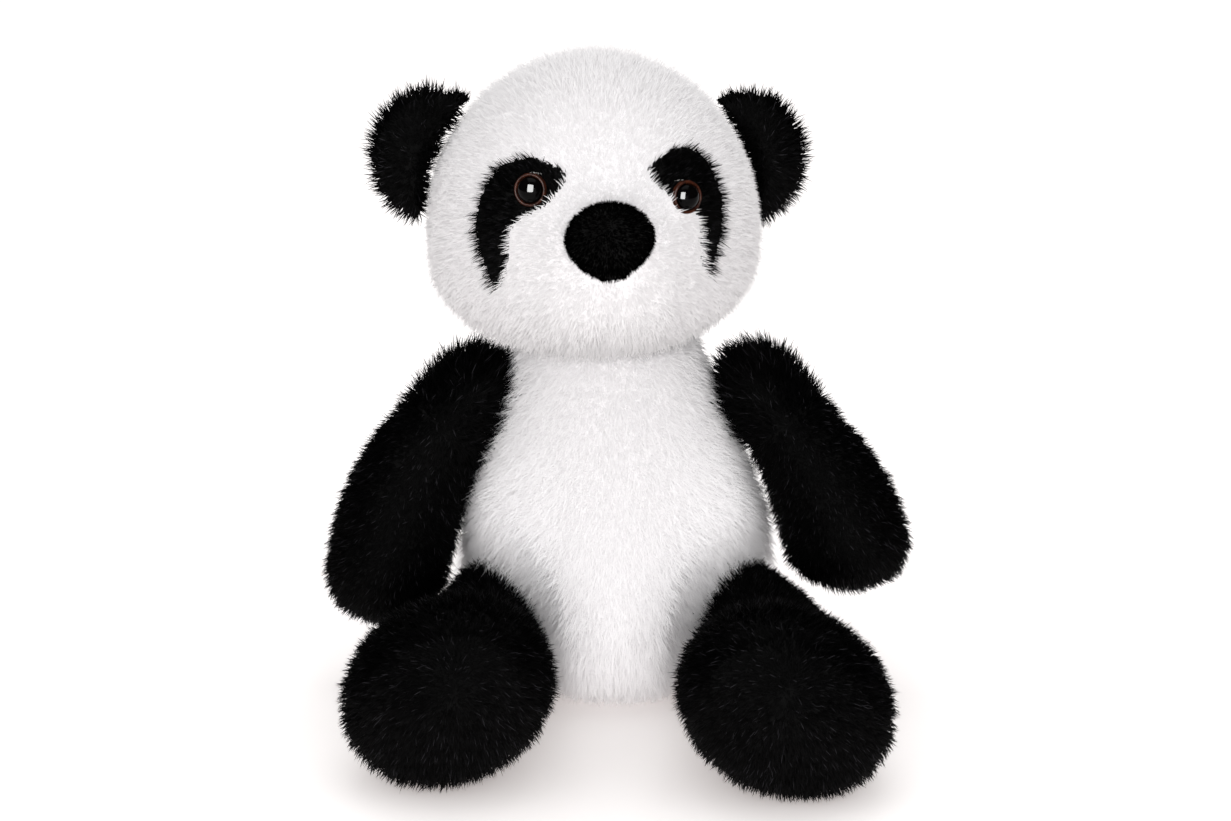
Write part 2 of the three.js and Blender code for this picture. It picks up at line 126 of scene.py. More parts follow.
def joined(nodes):
    """The points and triangles of several CAD nodes as one mesh's arrays."""
    points, triangles, count = [], [], 0
    for node in nodes:
        p, t = arrays_of(NODES[node].data)
        points.append(p)
        triangles.append(t + count)
        count += len(p)
    return np.concatenate(points), np.concatenate(triangles)


def mesh_from(name, points, faces):
    mesh = bpy.data.meshes.new(name)
    mesh.from_pydata(points.tolist(), [], faces.tolist())
    mesh.update()
    return mesh


def with_modifier(mesh, kind, **settings):
    """The mesh that one modifier makes of this one."""
    obj = add_object("work", mesh)
    modifier = obj.modifiers.new(kind, kind)
    for key, value in settings.items():
        setattr(modifier, key, value)
    graph = bpy.context.evaluated_depsgraph_get()
    made = bpy.data.meshes.new_from_object(obj.evaluated_get(graph))
    bpy.data.objects.remove(obj)
    return made


def hull_of(points):
    shape = bmesh.new()
    for p in points:
        shape.verts.new(p)
    found = bmesh.ops.convex_hull(shape, input=shape.verts)
    loose = {v for v in found["geom_interior"] + found["geom_unused"] if isinstance(v, bmesh.types.BMVert)}
    bmesh.ops.delete(shape, geom=list(loose), context="VERTS")
    mesh = bpy.data.meshes.new("hull")
    shape.to_mesh(mesh)
    shape.free()
    return mesh


SMOOTH_STEPS = (0.5, -0.52)


def smooth(mesh, rounds):
    """Smooths in place. Each round's second, backward step keeps the volume."""
    points, _ = arrays_of(mesh)
    edges = np.empty(len(mesh.edges) * 2, np.int64)
    mesh.edges.foreach_get("vertices", edges)
    a, b = edges.reshape(-1, 2).T
    size = len(points)
    count = np.bincount(np.concatenate([a, b]), minlength=size)[:, None]
    for _ in range(rounds):
        for step in SMOOTH_STEPS:
            sums = [np.bincount(a, points[b, k], size) + np.bincount(b, points[a, k], size) for k in range(3)]
            points = points + step * (np.stack(sums, axis=1) / count - points)
    mesh.vertices.foreach_set("co", points.ravel())
    mesh.update()


def move_along_normals(mesh, distance):
    points, _ = arrays_of(mesh)
    mesh.vertices.foreach_set("co", (points + normals_of(mesh) * distance).ravel())
    mesh.update()


# ------------------------------------------------------------------------------------------ panels and seams
class Panels:
    """The CAD fur panels of one body, as one tree that says which panel is nearest to a point."""

    def __init__(self, names):
        self.names = names
        self.trees = []
        for name in names:
            points, triangles = arrays_of(NODES[name].data)
            self.trees.append(BVHTree.FromPolygons(points.tolist(), triangles.tolist()))

    def distances(self, points):
        table = np.empty((len(points), len(self.trees)))
        for column, tree in enumerate(self.trees):
            find = tree.find_nearest
            table[:, column] = [find(p)[3] for p in points.tolist()]
        return table


CLOTH_FRAMES = 20
PRESSURE = 4


def inflate(mesh, panels, still, cap):
    """Cloth simulation: pressure swells the panels. The seams between them stay where they are, and so does
    the skin at the nodes that are sewn or locked onto it, which are in still."""
    points, _ = arrays_of(mesh)
    obj = add_object("cloth", mesh)
    pins = obj.vertex_groups.new(name="seams")
    if len(panels.names) > 1:
        near = np.sort(panels.distances(points), axis=1)
        held = np.flatnonzero(near[:, 1] - near[:, 0] < SEAM_WIDTH)
        pins.add(held.tolist(), 1.0, "REPLACE")
    if still:
        held = np.flatnonzero(Panels(still).distances(points).min(1) < STILL)
        pins.add(held.tolist(), 1.0, "REPLACE")
    cloth = obj.modifiers.new("cloth", "CLOTH")
    settings = cloth.settings
    settings.quality = 4
    settings.mass = 0.3
    settings.tension_stiffness = 12
    settings.compression_stiffness = 12
    settings.bending_stiffness = 0.4
    settings.use_pressure = True
    settings.uniform_pressure_force = PRESSURE
    settings.effector_weights.gravity = 0
    settings.vertex_group_mass = pins.name
    cloth.point_cache.frame_start = 1
    cloth.point_cache.frame_end = CLOTH_FRAMES
    scene = bpy.context.scene
    for number in range(1, CLOTH_FRAMES + 1):
        scene.frame_set(number)
    graph = bpy.context.evaluated_depsgraph_get()
    puffed, _ = arrays_of(obj.evaluated_get(graph).data)
    moved = puffed - points
    length = np.linalg.norm(moved, axis=1, keepdims=True)
    moved *= np.minimum(1, cap / np.maximum(length, 1e-9))
    obj.modifiers.remove(cloth)
    result = obj.data.copy()
    result.vertices.foreach_set("co", (points + moved).ravel())
    result.update()
    bpy.data.objects.remove(obj)
    scene.frame_set(1)
    return result


def make_skin(
    name, body, solids, panels, voxel=4 * MM, hull=None, depth=SKIN_DEPTH, rounds=8, shape=None,
    still=(), puff=PUFF_CAP,
):
    """A smooth stuffed skin from a body's CAD solids, or from the hull of them and the points in hull.

    depth is how far it lies inside, and rounds is how often it is smoothed. shape moves its points at the
    end. still and puff are for the simulation: the nodes that hold the skin, and the cap on its movement.
    """
    points, triangles = joined(solids)
    start = mesh_from(name, points, triangles) if hull is None else hull_of(np.concatenate([points, hull]))
    mesh = with_modifier(start, "REMESH", mode="VOXEL", voxel_size=voxel)
    smooth(mesh, rounds)
    move_along_normals(mesh, -depth)
    if puff:
        move_along_normals(mesh, -SLACK)
        mesh = inflate(mesh, panels, still, puff)
        smooth(mesh, 2)
    mesh = with_modifier(mesh, "SUBSURF", levels=1)
    points, _ = arrays_of(mesh)
    if shape:
        points = shape(points)
    points[:, 2] = np.maximum(points[:, 2], FLOOR_GAP)
    mesh.vertices.foreach_set("co", points.ravel())
    mesh.update()
    mesh.name = name
    for polygon in mesh.polygons:
        polygon.use_smooth = True
    skin = add_object(name, mesh)
    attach(skin, body)
    return skin


# ------------------------------------------------------------------------------------------ pile
BLACK_WIDTH = 0.31  # half width in mm of the coarser strands of the ears and the limbs
UNDER_WIDTH = 1.35  # the undercoat's width against the long strands'
LENGTH_SPREAD = 0.13
STRAY = 0.22  # how far the long strands stray from their combed direction
UNDER_STRAY = 0.28


class Pile:
    """How the pile of one body is cut and combed. There are two coats: long strands that bend, and a short
    straight undercoat between them."""

    def __init__(
        self, length, comb, density=52, under=80, lean=0.5, width=0.22, clump=0.28, tuft=8, droop=0.08
    ):
        self.density = density * 1e4  # strands in a square metre
        self.under = under * 1e4
        self.length = length  # function of the root points, in metres
        self.comb = comb  # function of the root points, a direction each
        self.lean = lean  # sideways share of a strand's direction, against 1 along the normal
        self.width = width * MM  # half width at the root
        self.clump = clump  # how far the tips of a tuft draw together, from 0 to 1
        self.tuft = tuft  # strands in a tuft
        self.droop = droop  # how far the tips hang


def plant(skin, density, rng):
    """Random roots over a skin: points and surface normals."""
    points, triangles = arrays_of(skin.data)
    normals = normals_of(skin.data)
    a, b, c = (points[triangles[:, k]] for k in range(3))
    area = np.linalg.norm(np.cross(b - a, c - a), axis=1) / 2
    count = int(area.sum() * density)
    chosen = rng.choice(len(area), count, p=area / area.sum())
    u, v = rng.random(count), rng.random(count)
    over = u + v > 1
    u[over], v[over] = 1 - u[over], 1 - v[over]
    weights = np.stack([1 - u - v, u, v], axis=1)[:, :, None]
    corners = triangles[chosen]
    roots = (points[corners] * weights).sum(1)
    return roots, unit((normals[corners] * weights).sum(1))


def nearest_index(points, centres):
    tree = KDTree(len(centres))
    for i, centre in enumerate(centres.tolist()):
        tree.insert(centre, i)
    tree.balance()
    find = tree.find
    return np.array([find(p)[1] for p in points.tolist()])


def same_length(length):
    """A Pile length, in mm, that is the same everywhere."""
    return lambda points: np.full(len(points), length * MM)


def combed(roots, normals, pile):
    along = pile.comb(roots)
    return unit(along - normals * (along * normals).sum(1, keepdims=True))


def grow_long(roots, normals, pile, rng):
    """The middle and tip points of the long strands."""
    count = len(roots)
    along = combed(roots, normals, pile)
    length = (pile.length(roots) * rng.normal(1, LENGTH_SPREAD, count).clip(0.55, 1.35))[:, None]
    stray = rng.normal(0, STRAY, (count, 3))
    first = unit(normals + along * pile.lean * 0.7 + stray)
    second = unit(first + along * pile.lean * 0.8 + np.array([0, 0, -pile.droop]) + stray * 0.7)
    middle = roots + first * length * 0.5
    tip = middle + second * length * 0.5
    leaders = rng.choice(count, max(1, count // pile.tuft), replace=False)
    mine = leaders[nearest_index(roots, roots[leaders])]
    pull = pile.clump * rng.uniform(0.3, 1, (count, 1))
    tip = tip + (tip[mine] - tip) * pull
    middle = middle + (middle[mine] - middle) * pull * 0.3
    return middle, tip


def grow_under(roots, normals, pile, rng):
    """The tip points of the undercoat."""
    count = len(roots)
    length = (pile.length(roots) * rng.uniform(0.45, 0.8, count))[:, None]
    lean = combed(roots, normals, pile) * pile.lean * 0.8 + rng.normal(0, UNDER_STRAY, (count, 3))
    return roots + unit(normals + lean) * length


RING = 3  # corners of a strand's section
ROOT_DEPTH = 0.6 * MM  # how far a strand starts under the skin
TAPER = 0.28  # how much narrower a strand is halfway
SKIN_SHADE = 0.9  # the skin normal's share in a strand's shading normals, and in its tip's
TIP_SHADE = 0.85


def strands(roots, normals, stations, width, rng):
    """Tapered three-sided strands through rings at the stations up to a tip: points, shading normals, map and
    faces. The shading normals lean towards the skin's own, as light that scatters in a pile does. The map
    runs from root to tip across, and from strand to strand upwards."""
    count, rings = len(roots), len(stations)
    start = roots - normals * ROOT_DEPTH
    axis = unit(stations[0] - start)
    across = unit(np.cross(axis, normals) + 1e-6)
    outward = np.cross(across, axis)
    outward *= np.where((outward * normals).sum(1, keepdims=True) < 0, -1, 1)
    turned = np.cross(outward, axis)
    width = width * rng.uniform(0.75, 1.25, (count, 1))
    total = rings * RING + 1
    points = np.empty((count, total, 3))
    shading = np.empty_like(points)
    for level in range(rings):
        at = start if level == 0 else stations[level - 1]
        for k in range(RING):
            angle = math.pi / 2 + k * 2 * math.pi / RING
            side = turned * math.cos(angle) + outward * math.sin(angle)
            points[:, level * RING + k] = at + side * width * (1 - TAPER * level)
            shading[:, level * RING + k] = normals * SKIN_SHADE + side * (1 - SKIN_SHADE)
    points[:, -1] = stations[-1]
    shading[:, -1] = normals * TIP_SHADE + axis * (1 - TIP_SHADE)
    faces = [(2, 1, 0)]
    for level in range(rings - 1):
        for k in range(RING):
            low, low_next = level * RING + k, level * RING + (k + 1) % RING
            faces += [(low, low_next, low_next + RING), (low, low_next + RING, low + RING)]
    last = (rings - 1) * RING
    faces += [(last + k, last + (k + 1) % RING, total - 1) for k in range(RING)]
    share = np.append(np.repeat(np.linspace(0.03, 0.97, rings + 1)[:-1], RING), 0.97)
    uv = np.empty((count, total, 2))
    uv[:, :, 0] = share if rings > 1 else share * 0.6
    uv[:, :, 1] = (rng.random(count) * 0.98 + 0.01)[:, None] + np.append([-0.006, 0, 0.006] * rings, 0)
    return points, unit(shading), uv, np.array(faces)


def pile_mesh(name, coats):
    """One mesh of several coats of strands."""
    points, shading, uv, faces, used = [], [], [], [], 0
    for coat_points, coat_shading, coat_uv, pattern in coats:
        count, total = coat_points.shape[:2]
        starts = used + np.arange(count)[:, None, None] * total
        faces.append((pattern[None] + starts).reshape(-1, 3))
        points.append(coat_points.reshape(-1, 3))
        shading.append(coat_shading.reshape(-1, 3))
        uv.append(coat_uv.reshape(-1, 2))
        used += count * total
    points, shading, uv, faces = (np.concatenate(part) for part in (points, shading, uv, faces))
    points[:, 2] = np.maximum(points[:, 2], FLOOR_GAP)
    mesh = bpy.data.meshes.new(name)
    mesh.vertices.add(len(points))
    mesh.vertices.foreach_set("co", points.ravel())
    mesh.loops.add(faces.size)
    mesh.loops.foreach_set("vertex_index", faces.ravel().astype(np.int32))
    mesh.polygons.add(len(faces))
    mesh.polygons.foreach_set("loop_start", np.arange(0, faces.size, 3, dtype=np.int32))
    mesh.polygons.foreach_set("use_smooth", np.ones(len(faces), bool))
    mesh.update(calc_edges=True)
    layer = mesh.uv_layers.new(name="OFBake")
    layer.data.foreach_set("uv", uv[faces.ravel()].astype(np.float32).ravel())
    mesh.normals_split_custom_set_from_vertices(shading.tolist())
    return mesh


def furred(skin, body, panels, pile, seed, skip=None, reach=REACH):
    """Plants and grows the pile of one skin, and makes one fur piece for each CAD panel."""
    rng = np.random.default_rng(seed)
    grown = []
    for density in (pile.density, pile.under):
        roots, normals = plant(skin, density, rng)
        distance = panels.distances(roots)
        share = np.array([THINNER.get(name, 1.0) for name in panels.names])[distance.argmin(1)]
        keep = (distance.min(1) < reach) & (rng.random(len(roots)) < share)
        if skip is not None:
            keep &= ~skip(roots)
        roots, normals, distance = roots[keep], normals[keep], distance[keep]
        grown.append((roots, normals, distance.argmin(1)))
    (roots, normals, owner), (low_roots, low_normals, low_owner) = grown
    middle, tip = grow_long(roots, normals, pile, rng)
    low_tip = grow_under(low_roots, low_normals, pile, rng)
    for index, node in enumerate(panels.names):
        halves = (("_left", -1), ("_right", 1)) if node in HALVED else (("", 0),)
        for suffix, sign in halves:
            mine = (owner == index) & (roots[:, 0] * sign >= 0)
            low = (low_owner == index) & (low_roots[:, 0] * sign >= 0)
            if not mine.any():
                continue
            coats = [
                strands(roots[mine], normals[mine], (middle[mine], tip[mine]), pile.width, rng),
                strands(low_roots[low], low_normals[low], (low_tip[low],), pile.width * UNDER_WIDTH, rng),
            ]
            name = f"{node}_fur{suffix}"
            dress_pile(add_object(name, pile_mesh(name, coats)), body, node)


def dress_pile(piece, body, node):
    """Puts a fur piece on the body that it rides on, hides the CAD node whose place it takes, and gives it
    its finish and material.
    """
    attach(piece, body)
    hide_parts(node)
    look = "white_fur" if node == "neck_stuffing" else NODE_SLOT[node]
    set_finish(piece, look)
    piece.data.materials.append(MATERIALS[look])
    piece.visible_shadow = look != "white_fur"  # light passes white pile, and its skin casts the shadow


# ------------------------------------------------------------------------------------------ materials
class Nodes:
    """A small helper that builds a material's node tree."""

    def __init__(self, name):
        self.material = bpy.data.materials.new(name)
        self.material.use_nodes = True
        self.tree = self.material.node_tree
        self.shader = self.tree.nodes["Principled BSDF"]

    def add(self, kind, **values):
        node = self.tree.nodes.new(kind)
        for key, value in values.items():
            setattr(node, key, value)
        return node

    def link(self, output, target):
        self.tree.links.new(output, target)

    def set(self, **values):
        for key, value in values.items():
            self.shader.inputs[key.replace("_", " ")].default_value = value

    def ramp(self, factor, stops):
        node = self.add("ShaderNodeValToRGB")
        self.link(factor, node.inputs["Fac"])
        elements = node.color_ramp.elements
        while len(elements) < len(stops):
            elements.new(0.5)
        for element, (place, colour) in zip(elements, stops):
            element.position = place
            element.color = (*colour, 1)
        return node.outputs["Color"]

    def noise(self, vector, scale, detail):
        node = self.add("ShaderNodeTexNoise")
        node.inputs["Scale"].default_value = scale
        node.inputs["Detail"].default_value = detail
        self.link(vector, node.inputs["Vector"])
        return node.outputs["Fac"]

    def position(self):
        return self.add("ShaderNodeTexCoord").outputs["Object"]

    def bump(self, height, strength, distance):
        node = self.add("ShaderNodeBump")
        node.inputs["Strength"].default_value = strength
        node.inputs["Distance"].default_value = distance
        self.link(height, node.inputs["Height"])
        self.link(node.outputs["Normal"], self.shader.inputs["Normal"])


def fur_material(name, root, middle, tip, tone_and_painted_glints, roughness, specular, sheen=0.0):
    """Colour from root to tip, darker at the root as painted shadow deep in the pile, times a grey that
    varies from strand to strand, whose stops are the argument after tip. Where its top stops make a few
    strands much brighter, these are painted highlights.
    """
    n = Nodes(name)
    uv = n.add("ShaderNodeUVMap", uv_map="OFBake")
    split = n.add("ShaderNodeSeparateXYZ")
    n.link(uv.outputs["UV"], split.inputs[0])
    # root to tip: darker at the root as painted shadow deep in the pile, and on the black fur and the nose
    # lighter at the tip, a painted highlight
    length = n.ramp(split.outputs["X"], [(0.0, root), (0.45, middle), (0.95, tip)])
    # one grey for each strand: small random differences in tone, and on the black fur and the nose a few much
    # brighter strands, which are painted highlights
    lane = n.add("ShaderNodeTexWhiteNoise", noise_dimensions="1D")
    step = n.add("ShaderNodeMath", operation="MULTIPLY")
    step.inputs[1].default_value = 90.0
    n.link(split.outputs["Y"], step.inputs[0])
    whole = n.add("ShaderNodeMath", operation="FLOOR")
    n.link(step.outputs[0], whole.inputs[0])
    n.link(whole.outputs[0], lane.inputs["W"])
    strand_grey_with_painted_glints = n.ramp(lane.outputs["Value"], [(place, (grey,) * 3) for place, grey in tone_and_painted_glints])
    mix = n.add("ShaderNodeMix", data_type="RGBA", blend_type="MULTIPLY")
    mix.inputs["Factor"].default_value = 1.0
    n.link(length, mix.inputs["A"])
    n.link(strand_grey_with_painted_glints, mix.inputs["B"])
    n.link(mix.outputs["Result"], n.shader.inputs["Base Color"])
    n.set(Roughness=roughness, Specular_IOR_Level=specular, Sheen_Weight=sheen, Sheen_Roughness=0.5)
    return n.material


def cloth_material(name, dark, light):
    """Knitted backing under the pile: mottled, with a fine bump."""
    n = Nodes(name)
    place = n.position()
    n.link(n.ramp(n.noise(place, 260, 4), [(0.3, dark), (0.7, light)]), n.shader.inputs["Base Color"])
    n.bump(n.noise(place, 1400, 2), 0.4, 0.0006)
    n.set(Roughness=0.95, Specular_IOR_Level=0.2)
    return n.material


def plastic_material(name, dark, light, roughness, scale=120, specular=0.5):
    """Moulded plastic, faintly mottled at the noise's scale."""
    n = Nodes(name)
    place = n.position()
    n.link(n.ramp(n.noise(place, scale, 3), [(0.35, dark), (0.65, light)]), n.shader.inputs["Base Color"])
    n.set(Roughness=roughness, Specular_IOR_Level=specular)
    return n.material


def make_materials():
    return {
        # white pile: its root colour is a little darker than its tips, painted shadow deep in the pile; the
        # strand greys differ a little at random
        "white_fur": fur_material(
            "white_fur", (0.90, 0.875, 0.885), (0.96, 0.94, 0.947), (0.98, 0.962, 0.968),
            [(0.0, 0.97), (1.0, 1.0)], 0.9, 0.1, 0.05,
        ),
        # black pile: near black at the root, painted shadow, with grey tips that only a few strands keep,
        # painted highlights where light catches fibre tips
        "black_fur": fur_material(
            "black_fur", (0.001, 0.001, 0.001), (0.005, 0.005, 0.006), (0.06, 0.057, 0.065),
            [(0.0, 0.02), (0.84, 0.06), (0.94, 1.0)], 0.5, 0.08,
        ),
        # velour nose: darker at the root as painted shadow, and a few brighter strand tips as painted
        # highlights
        "nose_velour": fur_material(
            "nose_velour", (0.0005, 0.0005, 0.0005), (0.001, 0.001, 0.001), (0.0025, 0.002, 0.0025),
            [(0.0, 0.1), (0.9, 0.3), (1.0, 1.0)], 0.8, 0.015,
        ),
        "white_backing": cloth_material("white_backing", (0.80, 0.78, 0.79), (0.88, 0.86, 0.87)),
        "black_backing": cloth_material("black_backing", (0.002, 0.002, 0.002), (0.006, 0.006, 0.006)),
        "stuffing": cloth_material("stuffing", (0.75, 0.73, 0.70), (0.85, 0.83, 0.80)),
        "white_thread": cloth_material("white_thread", (0.62, 0.59, 0.60), (0.75, 0.72, 0.73)),
        "black_thread": cloth_material("black_thread", (0.006, 0.006, 0.008), (0.02, 0.02, 0.022)),
        "eye_black": plastic_material(
            "eye_black", (0.001, 0.001, 0.001), (0.002, 0.0015, 0.0015), 0.03, specular=0.06
        ),
        "eye_brown": plastic_material(
            "eye_brown", (0.016, 0.004, 0.002), (0.055, 0.014, 0.006), 0.4, scale=500, specular=0.02
        ),
        "washer_plastic": plastic_material("washer_plastic", (0.74, 0.73, 0.70), (0.82, 0.81, 0.78), 0.4),
    }


MATERIALS = make_materials()


def dress_skin(skin, colours):
    """Gives a skin its backing: colours is one material's name, or a list with a name for each face."""
    names = sorted(set(colours)) if not isinstance(colours, str) else [colours]
    for name in names:
        skin.data.materials.append(MATERIALS[name])
    if not isinstance(colours, str):
        index = np.array([names.index(c) for c in colours], np.int32)
        skin.data.polygons.foreach_set("material_index", index)
    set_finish(skin, "white_fur" if "white_backing" in names else "black_fur")


def backing_by_panel(skin, panels):
    """The backing of each face of a skin, which goes by its nearest panel."""
    centres = np.empty(len(skin.data.polygons) * 3)
    skin.data.polygons.foreach_get("center", centres)
    owner = np.argmin(panels.distances(centres.reshape(-1, 3)), axis=1)
    slots = [NODE_SLOT[name] for name in panels.names]
    return [slots[i].replace("fur", "backing") for i in owner]


# ------------------------------------------------------------------------------------------ head
def centre_of(node):
    return arrays_of(NODES[node].data)[0].mean(0)


EYES = {side: centre_of(f"eye_rim_{side}") for side, _ in SIDES}
EYE_OUT = {side: unit(EYES[side] - centre_of(f"eye_lock_washer_{side}")) for side, _ in SIDES}
NOSE_AT = centre_of("nose_pad")
HEAD_MIDDLE = centre_of("head_stuffing")
FACE = unit((NOSE_AT - HEAD_MIDDLE) * np.array([1, 1, 0]))  # where the face looks, level
FACE_SIDE = np.array([-FACE[1], FACE[0], 0.0])  # across the face, towards +X


def near(points, centre):
    return np.linalg.norm(points - centre, axis=1)


def head_comb(points):
    """Away from the nose, and down the cheeks, the chin and the back."""
    away = unit(points - NOSE_AT)
    behind = np.clip(near(points, NOSE_AT)[:, None] / 0.12, 0, 1)
    return away + np.array([0, 0, -1.1]) * behind**2


HEAD_PILE = 7.2 * MM
BEARD = 4.0 * MM  # how much longer it is under the chin


def head_length(points):
    """Shorter by the nose, the eyes and the ears, and longer under the chin."""
    under_chin = np.interp(HEAD_MIDDLE[2] - points[:, 2], [0.035, 0.055], [0, 1])
    length = HEAD_PILE + BEARD * under_chin
    beside_nose = near(points, NOSE_AT)
    length *= np.interp(beside_nose, [0.016, 0.034, 0.06], [0.45, 0.85, 1.0])
    for side, _ in SIDES:
        length *= np.interp(near(points, EYES[side]), [0.007, 0.016, 0.040, 0.050], [0.6, 0.8, 0.85, 1.0])
        length *= np.interp(near(points, JOINT_AT[f"ear_{side}_fold"]), [0.03, 0.045], [0.5, 1.0])
    return length


CHEEK = 2.0 * MM  # how much the cheeks are filled out
NOSE_BRIDGE = 4.5 * MM  # how much the muzzle is filled out behind the nose
CREASE = 2.2 * MM  # depth of the seam below the nose
CREASE_WIDTH = 4.0 * MM


def face_shape(points):
    """Fills out the cheeks and the muzzle behind the nose, and presses the seam below the nose in."""
    sideways = (points - HEAD_MIDDLE) @ FACE_SIDE
    low = np.interp(points[:, 2] - HEAD_MIDDLE[2], [-0.05, -0.035, -0.005, 0.015], [0, 1, 1, 0])
    outward = CHEEK * np.interp(np.abs(sideways), [0.03, 0.06], [0, 1]) * low * np.sign(sideways)
    forward = NOSE_BRIDGE * np.interp(near(points, NOSE_AT), [0.012, 0.032], [1, 0])
    return muzzle_crease(points + FACE_SIDE * outward[:, None] + FACE * forward[:, None])


def muzzle_crease(points):
    offset = (points - NOSE_AT) @ FACE_SIDE
    ahead = (points - HEAD_MIDDLE) @ FACE
    below = NOSE_AT[2] - points[:, 2]
    down = np.interp(below, [0.010, 0.020, 0.050, 0.062], [0, 1, 1, 0])
    depth = CREASE * np.exp(-((offset / CREASE_WIDTH) ** 2)) * down * (ahead > 0.02)
    return points - FACE * depth[:, None]


def changed_copy(node, name, body, change):
    """A copy of a CAD node that stands for it, with its points changed."""
    mesh = NODES[node].data.copy()
    points, _ = arrays_of(mesh)
    mesh.vertices.foreach_set("co", change(points).ravel())
    mesh.update()
    mesh.materials.clear()
    mesh.materials.append(MATERIALS[NODE_SLOT[node]])
    piece = add_object(name, mesh)
    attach(piece, body)
    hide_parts(node)
    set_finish(piece, NODE_SLOT[node])


def make_muzzle_seam():
    """The pulled thread, sunk into the crease under the pile."""
    changed_copy("muzzle_seam_thread", "muzzle_seam", "head", lambda points: points - FACE * SEAM_SINK)


EYE_BARE = 7.2 * MM  # no pile grows this near to the middle of an eye
NOSE_BARE = 2.2 * MM  # nor this near to the nose


def make_head():
    names = ["back_of_head_panel"]
    names += [f"{piece}_{side}" for piece in ("face_panel", "eye_patch") for side, _ in SIDES]
    panels = Panels(names)
    solids = names + ["head_stuffing"] + [f"eye_dome_{side}" for side, _ in SIDES]
    still = ["nose_pad"] + [f"eye_rim_{side}" for side, _ in SIDES]
    skin = make_skin("head_skin", "head", solids, panels, shape=face_shape, still=still)
    dress_skin(skin, backing_by_panel(skin, panels))
    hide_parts("head_stuffing")
    pile = Pile(head_length, head_comb, lean=0.6)

    def bare(points):
        at_eye = np.minimum(*(near(points, EYES[side]) for side, _ in SIDES)) < EYE_BARE
        return at_eye | under_nose(points)

    furred(skin, "head", panels, pile, 11, bare)


def under_nose(points):
    return Panels(["nose_pad"]).distances(points)[:, 0] < NOSE_BARE


def make_nose():
    panels = Panels(["nose_pad"])
    skin = make_skin(
        "nose_skin", "head", ["nose_pad"], panels, voxel=1.6 * MM, depth=1.2 * MM, rounds=6, puff=0
    )
    dress_skin(skin, "black_backing")
    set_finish(skin, "nose_velour")
    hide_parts("nose_pad")

    def comb(points):
        return unit(points - NOSE_AT) + np.array([0, 0, -0.6])

    pile = Pile(same_length(2.2), comb, density=220, under=220, lean=0.4, width=0.2, clump=0.2)
    furred(skin, "head", panels, pile, 12)


def lathe(name, profile, steps, origin, axis):
    """A closed turned piece. The profile's (radius, height) points start and end on the axis, or close."""
    turn = Vector((0, 0, 1)).rotation_difference(Vector(axis)).to_matrix().to_4x4()
    place = Matrix.Translation(Vector(origin)) @ turn
    shape = bmesh.new()
    rings = []
    for radius, height in profile:
        if radius < 1e-7:
            rings.append([shape.verts.new(place @ Vector((0, 0, height)))])
            continue
        angles = [2 * math.pi * k / steps for k in range(steps)]
        circle = [Vector((radius * math.cos(a), radius * math.sin(a), height)) for a in angles]
        rings.append([shape.verts.new(place @ corner) for corner in circle])
    pairs = list(zip(rings, rings[1:]))
    if len(rings[0]) > 1:
        pairs.append((rings[-1], rings[0]))
    for low, high in pairs:
        for k in range(steps):
            n = (k + 1) % steps
            corners = [low[k % len(low)], low[n % len(low)], high[n % len(high)], high[k % len(high)]]
            unique = list(dict.fromkeys(corners))
            if len(unique) > 2:
                shape.faces.new(unique)
    bmesh.ops.recalc_face_normals(shape, faces=shape.faces)
    mesh = bpy.data.meshes.new(name)
    shape.to_mesh(mesh)
    shape.free()
    for polygon in mesh.polygons:
        polygon.use_smooth = True
    return add_object(name, mesh)


EYE_PIECES = []
EYE_R = 7.1 * MM
PUPIL_R = 5.7 * MM
DOME_RISE = 4.6 * MM
DOME_LIFT = 0.2 * MM
STEM_R = 1.9 * MM
STEM_END = -9 * MM
DOME_FLOOR = -1 * MM
RIM_FLOOR = -0.8 * MM
RIM_EDGE = 0.5 * MM  # where the rim's rounding starts
RIM_RISE = 1.2 * MM


def make_eye(side):
    """A safety eye: a glossy black dome in a thin red-brown rim, on a stem."""
    out = EYE_OUT[side]
    seat = EYES[side] - out * 1.0 * MM
    arc = [k * math.pi / 24 for k in range(12)]
    dome = [(0, STEM_END), (STEM_R, STEM_END), (STEM_R, DOME_FLOOR), (PUPIL_R, DOME_FLOOR)]
    dome += [(PUPIL_R * math.cos(a), DOME_RISE * math.sin(a) + DOME_LIFT) for a in arc]
    dome.append((0, DOME_RISE + DOME_LIFT))
    pupil = lathe(f"eye_{side}_dome", dome, 48, seat, out)
    rim_arc = [k * math.pi / 8 for k in range(9)]
    middle, half = (EYE_R + PUPIL_R) / 2 + 0.05 * MM, (EYE_R - PUPIL_R) / 2
    rim = [(middle + half, RIM_FLOOR)]
    rim += [(middle + half * math.cos(a), RIM_EDGE + RIM_RISE * math.sin(a)) for a in rim_arc]
    rim.append((middle - half, RIM_FLOOR))
    ring = lathe(f"eye_{side}_rim", rim, 48, seat, out)
    parts = ((pupil, f"eye_dome_{side}", "eye_black"), (ring, f"eye_rim_{side}", "eye_brown"))
    for piece, node, look in parts:
        piece.data.materials.append(MATERIALS[look])
        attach(piece, "head")
        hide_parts(node)
        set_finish(piece, look)
    EYE_PIECES.extend((pupil, ring))


def make_ear(side, seed):
    body = f"ear_{side}"
    panels = Panels(BODIES[body])
    skin = make_skin(f"{body}_skin", body, BODIES[body], panels, voxel=3 * MM, depth=1.6 * MM, rounds=5)
    dress_skin(skin, "black_backing")
    hinge = JOINT_AT[f"ear_{side}_fold"]
    pile = Pile(same_length(7.6), lambda points: points - hinge, width=BLACK_WIDTH)
    furred(skin, body, panels, pile, seed)


